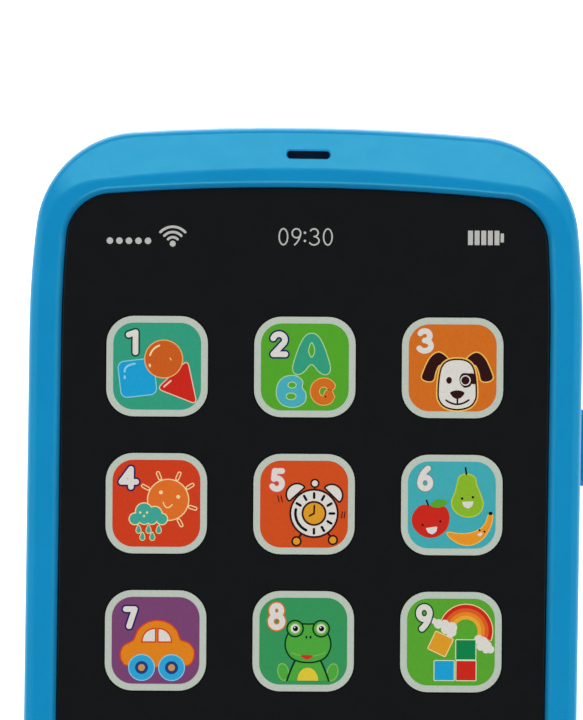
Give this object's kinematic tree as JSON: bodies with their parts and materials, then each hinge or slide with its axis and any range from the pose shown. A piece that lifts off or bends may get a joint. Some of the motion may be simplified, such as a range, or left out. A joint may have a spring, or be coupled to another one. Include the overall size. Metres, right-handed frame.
{
  "type": "toy cell phone",
  "caption": "Child's toy touch-screen phone: blue two-part casing, black printed screen of picture keys, side and round front buttons, rear battery lid, speaker grille and slide switch.",
  "frame": {"origin": "the middle of the flat back that the phone lies on", "axes": "+X across the phone towards the side button, +Y along it towards the earpiece end, +Z out of the screen"},
  "size_m": [0.076, 0.146, 0.02],
  "materials": {
    "case_blue": "glossy moulded blue",
    "key_blue": "glossy moulded blue",
    "screen_black": "high-gloss black, printed",
    "screen_print": "printing under the screen's gloss",
    "tape_white": "foam tape",
    "frosted": "frosted acrylic",
    "board_green": "solder mask",
    "lamp_white": "moulded lamp",
    "epoxy_black": "epoxy",
    "chip_brown": "ceramic",
    "can_silver": "sleeved can",
    "mesh_dark": "dark woven wire",
    "switch_black": "moulded black",
    "plunger_white": "moulded white",
    "dome_rubber": "silicone",
    "home_blue": "glossy moulded blue",
    "knob_black": "moulded black",
    "switch_can": "pressed steel",
    "cell_wrap": "printed sleeve",
    "nickel": "nickel plate",
    "spring_steel": "nickel-plated wire",
    "basket_steel": "zinc-plated pressing",
    "cone_paper": "doped paper",
    "magnet_grey": "ferrite",
    "gasket_foam": "foam",
    "terminal_brown": "phenolic board",
    "screw_steel": "zinc-plated",
    "wire_red": "PVC sleeve",
    "wire_black": "PVC sleeve",
    "wire_blue": "PVC sleeve"
  },
  "bodies": {
    "casing": {"front_case": "case_blue", "rear_case": "case_blue", "screen_lens": "screen_black", "lens_tape": "tape_white", "light_guide": "frosted", "touch_board": "board_green", "key_leds": "lamp_white", "chip_blob": "epoxy_black", "smd_parts": "chip_brown", "capacitor": "can_silver", "earpiece_mesh": "mesh_dark", "side_switch_body": "switch_black", "home_dome": "dome_rubber", "power_switch_body": "switch_can", "switch_board": "board_green", "switch_screws": "screw_steel", "batteries": "cell_wrap", "positive_terminal": "nickel", "negative_terminal": "nickel", "upper_bridge": "nickel", "lower_bridge": "nickel", "contact_springs": "spring_steel", "speaker_basket": "basket_steel", "speaker_cone": "cone_paper", "speaker_magnet": "magnet_grey", "speaker_gasket": "gasket_foam", "speaker_terminals": "terminal_brown", "speaker_washers": "screw_steel", "speaker_screws": "screw_steel", "board_screws": "screw_steel", "case_screws": "screw_steel", "battery_wire_red": "wire_red", "battery_wire_black": "wire_black", "switch_wire_red": "wire_red", "switch_wire_blue": "wire_blue", "speaker_wire_red": "wire_red", "speaker_wire_black": "wire_black"},
    "side_key": {"side_button": "key_blue"},
    "side_plunger": {"side_switch_plunger": "plunger_white"},
    "home_key": {"home_button": "home_blue"},
    "power_knob": {"power_switch_knob": "knob_black"},
    "lid": {"battery_lid": "case_blue"},
    "lower_screw": {"lid_screw_lower": "screw_steel"},
    "upper_screw": {"lid_screw_upper": "screw_steel"}
  },
  "joints": [
    {"name": "side_button_press", "type": "slide", "parent": "casing", "child": "side_key", "axis": [-1, 0, 0], "range_m": [0, 0.0007], "stiffness_N_per_m": 1500, "springref_m": -0.0003},
    {"name": "side_plunger_press", "type": "slide", "parent": "casing", "child": "side_plunger", "axis": [-1, 0, 0], "range_m": [0, 0.0007]},
    {"name": "home_button_press", "type": "slide", "parent": "casing", "child": "home_key", "axis": [0, 0, -1], "range_m": [0, 0.0006], "stiffness_N_per_m": 1800, "springref_m": -0.0003, "deforming": ["home_dome"]},
    {"name": "power_switch_slide", "type": "slide", "parent": "casing", "child": "power_knob", "axis": [1, 0, 0], "range_m": [0, 0.004]},
    {"name": "battery_lid_lift", "type": "slide", "parent": "casing", "child": "lid", "axis": [0, 0, -1], "range_m": [0, 0.025]},
    {"name": "lower_lid_screw_turn", "type": "hinge", "parent": "lid", "child": "lower_screw", "pos_m": [0, -0.0574, 0.0017], "axis": [0, 0, 1], "continuous": true},
    {"name": "upper_lid_screw_turn", "type": "hinge", "parent": "lid", "child": "upper_screw", "pos_m": [0, 0.0012, 0.0017], "axis": [0, 0, 1], "continuous": true}
  ],
  "couplings": [
    {"joint": "side_plunger_press", "follows": "side_button_press", "ratio": 1}
  ]
}
